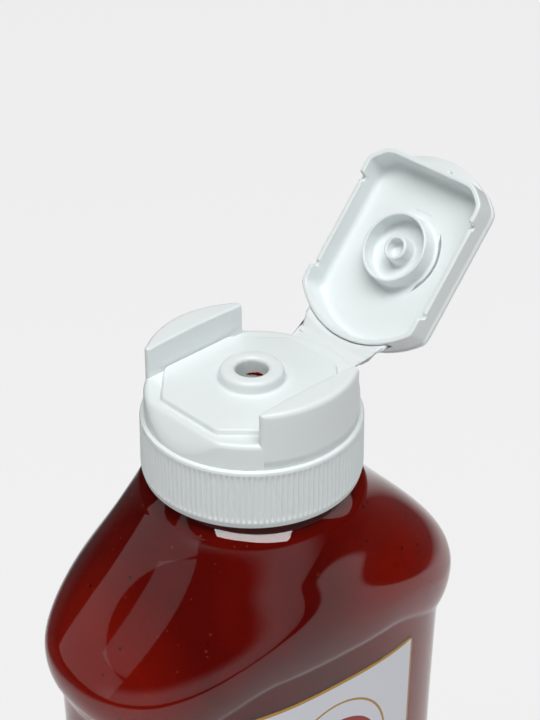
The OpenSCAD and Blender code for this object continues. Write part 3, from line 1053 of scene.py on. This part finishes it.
@dataclass
class FlipLid:
    """The lid: a shallow tray on its back, with a sealing ring, a plug and a thumb tab."""

    place: CapPlace
    radius: float = 19.6
    half_width: float = 14.35
    front: float = 16.7
    wall: float = 0.95
    rim: float = 5.35
    floor: float = 10.5
    top: float = 11.7
    notch: float = 9.9
    notch_height: float = 1.1
    ring_outer: float = 6.95
    ring_inner: float = 6.35
    ring_height: float = 3.5
    plug_height: float = 3.0
    tab_radius: float = 19.2
    tab_thickness: float = 1.5
    corner_power: float = 60.0
    nub_y: float = -3.9
    nub_radius: float = 0.62
    nub_half_height: float = 0.8

    def grid(self) -> np.ndarray:
        """The shut lid as one closed surface of direction and distance along its section.

        The section starts in the middle of the tray floor inside the plug, goes out over the plug, the
        ring and the wall, down the outer wall, out round the tab and back to the middle of the top.

        Returns:
            Points, shape (section, columns, 3).
        """
        columns = 960
        phi = TAU * np.arange(columns) / columns
        slab = [(0.5 * math.pi, self.half_width), (-0.5 * math.pi, self.half_width)]

        def outline(inset: float, with_front: bool) -> np.ndarray:
            """The tray's outline, or the tab's, drawn in by inset."""
            sides = [(a, d - inset) for a, d in slab]
            if with_front:
                sides.append((math.pi, self.front - inset))
            circle = self.radius if with_front else self.tab_radius
            return star_radius(phi, sides, circle - inset, self.corner_power)

        r, w, floor, rim = self.radius, self.wall, self.floor, self.rim
        plug, ring, shelf = floor - self.plug_height, floor - self.ring_height, self.top - self.tab_thickness
        inner = fillet_path(
            [
                (0.15, floor - 0.9, 0), (1.55, floor - 0.9, 0.4), (1.75, plug, 0.3), (2.45, plug, 0.35),
                (2.6, floor, 0.5), (self.ring_inner - 0.05, floor, 0.5), (self.ring_inner, ring, 0.22),
                (self.ring_outer - 0.05, ring, 0.25), (self.ring_outer + 0.1, floor, 0.6), (9.0, floor, 0),
                (r - w - 0.35, floor, 1.1), (r - w, rim, 0.25), (r - 0.02, rim, 0.3), (r, shelf, 0),
            ],
            7,
        )
        inner = densify(inner, 0.7)
        top = self.top
        outer = [(r, shelf, 0.1), (r, top, 0.8), (12.0, top + 0.02, 0), (0.2, top + 0.05, 0)]
        outer = densify(fillet_path(outer, 9), 1.0)
        rows, heights = [], []
        cos, sin = np.cos(phi), np.sin(phi)
        for radius, z in inner:
            mix = float(ease(np.array((radius - 8.0) / 4.0)))
            edge = outline(r - radius, True)
            rows.append((1 - mix) * radius + mix * edge)
            near_rim = float(np.clip((floor - 1.2 - z) / (floor - 1.2 - rim), 0.0, 1.0)) * (radius > 15)
            d = edge * cos
            on_side = (np.abs(edge * sin) > self.half_width - 2.2).astype(float)
            span = ease((self.notch - np.abs(d)) / 0.3 + 0.5)
            deeper = ease((0.55 - np.abs(np.abs(d) - self.notch + 0.7)) / 0.2)
            heights.append(z + near_rim * on_side * (self.notch_height * span + 0.45 * deeper))
        for radius, z in outer:
            mix = float(ease(np.array((radius - 6.0) / 8.0)))
            tab = outline(r - radius, False) * (cos < 0)
            edge = np.maximum(outline(r - radius, True), tab) + 0.005
            rows.append((1 - mix) * radius + mix * edge)
            heights.append(np.full(columns, z))
        radius, z = np.array(rows), np.array(heights)
        return np.stack([radius * cos, radius * sin, z], axis=-1)

    def nub(self) -> np.ndarray:
        """Small catch on the front rim, as a rounded bead.

        Returns:
            Points, shape (12, 24, 3).
        """
        columns = 24
        phi = TAU * np.arange(columns) / columns
        tilt = np.linspace(0.06, math.pi - 0.06, 12)[:, None]
        around = self.nub_radius * np.sin(tilt)
        d = -self.front + 0.1 + around * np.cos(phi)
        n = self.nub_y + around * np.sin(phi)
        z = self.rim + self.nub_half_height * (1.0 - np.cos(tilt)) + 0.0 * phi
        return np.stack([d, n, z], axis=-1)

    def build(self) -> bpy.types.Object:
        """The open lid as one object."""
        shells = [
            (self.place.on_bottle(self.place.swing(self.grid())), Closure.POLES),
            (self.place.on_bottle(self.place.swing(self.nub())), Closure.POLES),
        ]
        return build_mesh("flip_lid", shells)


@dataclass
class Smear:
    """A thin streak of ketchup left on the far side of the nozzle's hole."""

    place: CapPlace
    bore: float = 2.97
    level: float = 5.75
    half_height: float = 0.3
    thickness: float = 0.16
    start_deg: float = -14.0
    end_deg: float = 66.0

    def build(self) -> bpy.types.Object:
        """The streak as a closed strip that tapers to both ends and reaches just into the wall.

        Returns:
            The streak.
        """
        share = np.linspace(0.0, 1.0, 28)[:, None]
        phi = np.radians(self.start_deg + (self.end_deg - self.start_deg) * share)
        turn = TAU * np.arange(14)[None, :] / 14
        taper = np.sin(math.pi * np.clip(share, 0.03, 0.97)) ** 0.6
        uneven = 1 + 0.35 * np.sin(9 * share) * np.sin(23 * share)
        r = self.bore + 0.04 - self.thickness * taper * (0.5 + 0.5 * np.cos(turn))
        z = self.level + 0.25 * (1 - share) + self.half_height * taper * uneven * np.sin(turn)
        grid = np.stack([r * np.cos(phi), r * np.sin(phi), z + 0 * phi], axis=-1)
        return build_mesh("ketchup_smear", [(self.place.on_bottle(grid), Closure.POLES)])


@dataclass
class HingeWeb:
    """The living hinge: a thin film from the drum's back edge to the lid's, folded along the hinge line."""

    place: CapPlace
    half_width: float = 7.8
    flare: float = 1.35
    lid_radius: float = 19.2
    thickness: float = 0.42
    fixed_end: tuple[float, float, float] = (19.9, 0.0, 4.8)
    moving_end: tuple[float, float, float] = (22.0, 0.0, 6.4)

    def path(self, across: float) -> np.ndarray:
        """Middle line of the film, from the drum to the lid.

        Args:
            across: place across the film, as a share of its half width.

        Returns:
            Points, shape (n, 2).
        """
        spread = self.half_width * self.flare * across
        sag = self.lid_radius - math.sqrt(self.lid_radius**2 - spread**2)
        angle = math.radians(self.place.open_deg)
        c, s = math.cos(angle), math.sin(angle)
        lid = [(18.6 - sag, 8.4), (19.4 - sag, 7.2), (20.0 - 0.9 * sag, 6.1), (20.5 - 0.6 * sag, 5.45)]
        swung = []
        for x, z in lid:
            dx, dz = x - self.place.hinge_d, z - self.place.hinge_z
            swung.append((self.place.hinge_d + c * dx + s * dz, self.place.hinge_z - s * dx + c * dz, 0.5))
        start = [(17.4, 4.6, 0), (19.9, 4.75, 0.4), (21.1, 5.0, 0.7)]
        return densify(fillet_path(start + swung[::-1], 5), 0.4)

    def build(self) -> bpy.types.Object:
        """The film, swept across the hinge and flared out to the lid's corners.

        Returns:
            The film.
        """
        rows = []
        for across in np.linspace(-1.0, 1.0, 33):
            centre = self.path(across)
            keep = np.linspace(0, len(centre) - 1, 30)
            centre = np.column_stack([np.interp(keep, np.arange(len(centre)), centre[:, k]) for k in (0, 1)])
            along = np.gradient(centre, axis=0)
            along /= np.linalg.norm(along, axis=1)[:, None]
            normal = np.stack([-along[:, 1], along[:, 0]], axis=-1)
            half = normal * self.thickness / 2
            loop = np.concatenate([centre + half, (centre - half)[::-1]])
            share = np.linspace(0.0, 1.0, 30)
            wide = 1 + (self.flare - 1) * ease(share)
            n = self.half_width * across * np.concatenate([wide, wide[::-1]])
            rows.append(np.column_stack([loop[:, 0], n, loop[:, 1]]))
        return build_mesh("living_hinge_film", [(self.place.on_bottle(np.array(rows)), Closure.POLES)])


# ---------------------------------------------------------------- studio


@dataclass(frozen=True)
class Softbox:
    """A rectangular light that faces the closure.

    Bearing 0 is to the camera's right and 90 away from it; angles are in degrees, the distance and the
    width and height in metres, and the power in watts.
    """

    name: str
    bearing: float
    elevation: float
    distance: float
    size: tuple[float, float]
    power: float


@dataclass
class Studio:
    """Pale floor, softboxes, a world with a dim fill and a soft band in front, and the camera.

    The floor and the world look even and pale to the camera, and are mostly dark in reflections. Lengths
    are in metres, apart from rib_top and the lens, which are in millimetres. A fade or an edge is where
    it starts and where it ends.
    """

    rib_top: float = 169.5
    azimuth: float = 38.0
    elevation: float = 32.13
    lens: float = 140.866667
    sensor: float = 36.0
    camera_right: float = 0.00330
    camera_back: float = 0.32066
    camera_rise: float = 0.21194
    floor_half: float = 4.0
    floor_grey: str = "#5c5c5c"
    floor_seen: float = 0.80
    floor_glow: tuple[float, float] = (0.7, 0.02)
    floor_fade: tuple[float, float] = (0.7, 0.84)
    glow_right: float = 0.3215
    glow_near: float = 0.383
    world_seen: float = 0.86
    fill: float = 0.025
    band: float = 0.55
    band_sides: tuple[float, float] = (0.3, 0.75)
    band_top: tuple[float, float] = (0.37, 0.19)
    pivot: float = 0.14
    aim: float = 0.13
    lamps: tuple[Softbox, ...] = (
        Softbox("softbox_overhead", -90.0, 73.0, 1.0, (0.9, 0.4), 9.9),
        Softbox("card_left", -171.0, 12.5, 0.75, (0.86, 0.36), 0.47),
        Softbox("card_left_tall", -154.5, 32.5, 0.76, (0.4, 0.2), 0.11),
        Softbox("softbox_right", 30.0, 42.0, 1.0, (0.5, 0.5), 0.8),
    )

    def floor(self) -> None:
        """A sheet far wider than the view, lit evenly to the eye and fading out in reflections."""
        mesh = bpy.data.meshes.new("studio_floor")
        half = self.floor_half
        corners = [(-half, -half, 0), (half, -half, 0), (half, half, 0), (-half, half, 0)]
        mesh.from_pydata(corners, [], [(0, 1, 2, 3)])
        floor = bpy.data.objects.new("studio_floor", mesh)
        bpy.context.scene.collection.objects.link(floor)
        values = {"Base Color": to_linear(self.floor_grey), "Roughness": 1.0, "Specular IOR Level": 0.0}
        material, shader = new_material("studio_paper", values | {"Emission Color": (1.0, 1.0, 1.0, 1.0)})
        tree = material.node_tree
        place = add_node(tree, "ShaderNodeTexCoord").outputs["Object"]
        right, away = self.directions()
        middle = tuple(right * self.glow_right - away * self.glow_near)
        offset = add_node(tree, "ShaderNodeVectorMath", {"operation": "SUBTRACT"}, {0: place, 1: middle})
        reach = add_node(tree, "ShaderNodeVectorMath", {"operation": "LENGTH"}, {0: offset.outputs[0]})
        (start, stop), (near, far) = self.floor_fade, self.floor_glow
        fade = {0: reach.outputs["Value"], 1: start, 2: stop, 3: near, 4: far}
        glow = add_node(tree, "ShaderNodeMapRange", inputs=fade).outputs[0]
        seen = add_node(tree, "ShaderNodeLightPath").outputs["Is Camera Ray"]
        shown = {0: seen, 2: glow, 3: self.floor_seen}
        glow = add_node(tree, "ShaderNodeMix", {"data_type": "FLOAT"}, shown).outputs[0]
        tree.links.new(glow, shader.inputs["Emission Strength"])
        mesh.materials.append(material)

    def world(self) -> None:
        """Light from all round: pale to the eye; a dim fill with a soft band in front for the rest.

        The band is strongest level with the bottle and towards the camera's side, and fades out upwards
        by the ray's height and sideways by how squarely the ray points to that side.
        """
        world = bpy.data.worlds.new("studio_world")
        bpy.context.scene.world = world
        world.use_nodes = True
        tree = world.node_tree
        tree.nodes.clear()
        seen = add_node(tree, "ShaderNodeLightPath").outputs["Is Camera Ray"]
        ray = add_node(tree, "ShaderNodeTexCoord").outputs["Generated"]
        flat = add_node(tree, "ShaderNodeVectorMath", {"operation": "MULTIPLY"}, {0: ray, 1: (1.0, 1.0, 0.0)})
        level = add_node(tree, "ShaderNodeVectorMath", {"operation": "NORMALIZE"}, {0: flat.outputs[0]})
        front = tuple(-self.directions()[1])
        facing = add_node(
            tree, "ShaderNodeVectorMath", {"operation": "DOT_PRODUCT"}, {0: level.outputs[0], 1: front}
        ).outputs["Value"]
        height = add_node(tree, "ShaderNodeSeparateXYZ", inputs={0: ray}).outputs["Z"]
        across, up = (
            add_node(
                tree,
                "ShaderNodeMapRange",
                {"interpolation_type": "SMOOTHSTEP"},
                {0: source, 1: start, 2: stop, 3: 0.0, 4: most},
            ).outputs[0]
            for source, (start, stop), most in (
                (facing, self.band_sides, 1.0), (height, self.band_top, self.band)
            )
        )
        card = add_node(
            tree, "ShaderNodeMath", {"operation": "MULTIPLY_ADD"}, {0: across, 1: up, 2: self.fill}
        ).outputs[0]
        pale = (self.world_seen, self.world_seen, self.world_seen, 1.0)
        shade = add_node(tree, "ShaderNodeMix", {"data_type": "RGBA"}, {0: seen, 6: card, 7: pale}).outputs[2]
        back = add_node(tree, "ShaderNodeBackground", inputs={"Color": shade}).outputs[0]
        add_node(tree, "ShaderNodeOutputWorld", inputs={"Surface": back})

    def directions(self) -> tuple[Vector, Vector]:
        """Level directions to the camera's right and away from the camera."""
        azimuth = math.radians(self.azimuth)
        right = Vector((math.cos(azimuth), -math.sin(azimuth), 0.0))
        return right, Vector((math.sin(azimuth), math.cos(azimuth), 0.0))

    def hang(self, box: Softbox) -> None:
        """Add a softbox at its place round the closure, turned to face it.

        Args:
            box: the softbox.
        """
        across, rise = math.radians(box.bearing - self.azimuth), math.radians(box.elevation)
        flat = box.distance * math.cos(rise)
        at = (flat * math.cos(across), flat * math.sin(across), self.pivot + box.distance * math.sin(rise))
        data = bpy.data.lights.new(box.name, "AREA")
        data.shape = "RECTANGLE"
        data.size, data.size_y = box.size
        data.energy = box.power
        lamp = bpy.data.objects.new(box.name, data)
        towards = Vector((0.0, 0.0, self.aim)) - Vector(at)
        lamp.matrix_world = Matrix.Translation(at) @ towards.to_track_quat("-Z", "Y").to_matrix().to_4x4()
        bpy.context.scene.collection.objects.link(lamp)

    def camera(self) -> None:
        """Camera above the near left corner of the bottle, looking down at the closure."""
        elevation = math.radians(self.elevation)
        right, away = self.directions()
        back = Vector((0.0, 0.0, math.sin(elevation))) - away * math.cos(elevation)
        up = back.cross(right)
        at = Vector((0.0, 0.0, self.rib_top * MM)) + right * self.camera_right - away * self.camera_back
        at.z += self.camera_rise
        data = bpy.data.cameras.new("camera")
        data.sensor_fit = "HORIZONTAL"
        data.sensor_width = self.sensor
        data.lens = self.lens
        data.clip_start = 0.01
        camera = bpy.data.objects.new("camera", data)
        turn = Matrix((right, up, back)).transposed().to_4x4()
        camera.matrix_world = Matrix.Translation(at) @ turn
        bpy.context.scene.collection.objects.link(camera)
        bpy.context.scene.camera = camera

    def build(self) -> None:
        """Set the whole studio up."""
        self.floor()
        self.world()
        self.camera()
        for box in self.lamps:
            self.hang(box)
        scene = bpy.context.scene
        scene.view_settings.view_transform = "Standard"
        scene.view_settings.look = "None"


def dress(piece: bpy.types.Object, material: bpy.types.Material, body: str, slot: str, *nodes: str) -> None:
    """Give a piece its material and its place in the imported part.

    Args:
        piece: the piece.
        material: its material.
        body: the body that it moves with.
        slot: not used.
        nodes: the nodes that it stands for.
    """
    piece.data.materials.append(material)
    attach(piece, body)
    if nodes:
        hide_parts(*nodes)


def main() -> None:
    """Build the bottle, its filling, labels and closure, then the studio."""
    logging.basicConfig(level=logging.INFO, format="%(name)s: %(message)s")
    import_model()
    body = BottleBody()
    place = CapPlace()
    white = MouldedPolypropylene().material()
    dress(body.shell(), ClearPet().material(), "bottle", "clear_pet", "bottle")
    sauce = TomatoKetchup().material()
    dress(body.filling(), sauce, "bottle", "ketchup", "ketchup")
    dress(Smear(place).build(), sauce, "bottle", "ketchup")
    label = Label(body)
    film = LabelPrint().material(label)
    dress(label.sheet("label_front_film", -1.0), film, "bottle", "label_film", "label_front")
    dress(label.sheet("label_back_film", 1.0), film, "bottle", "label_film", "label_back")
    dress(CapBase(place).build(), white, "bottle", "white_pp", "cap_base")
    dress(FlipLid(place).build(), white, "lid", "white_pp", "lid")
    hinge = HingeWeb(place)
    web = hinge.build()
    web.data.materials.append(HingeFilm().material())
    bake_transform(web)
    Studio().build()


if __name__ == "__main__":
    main()
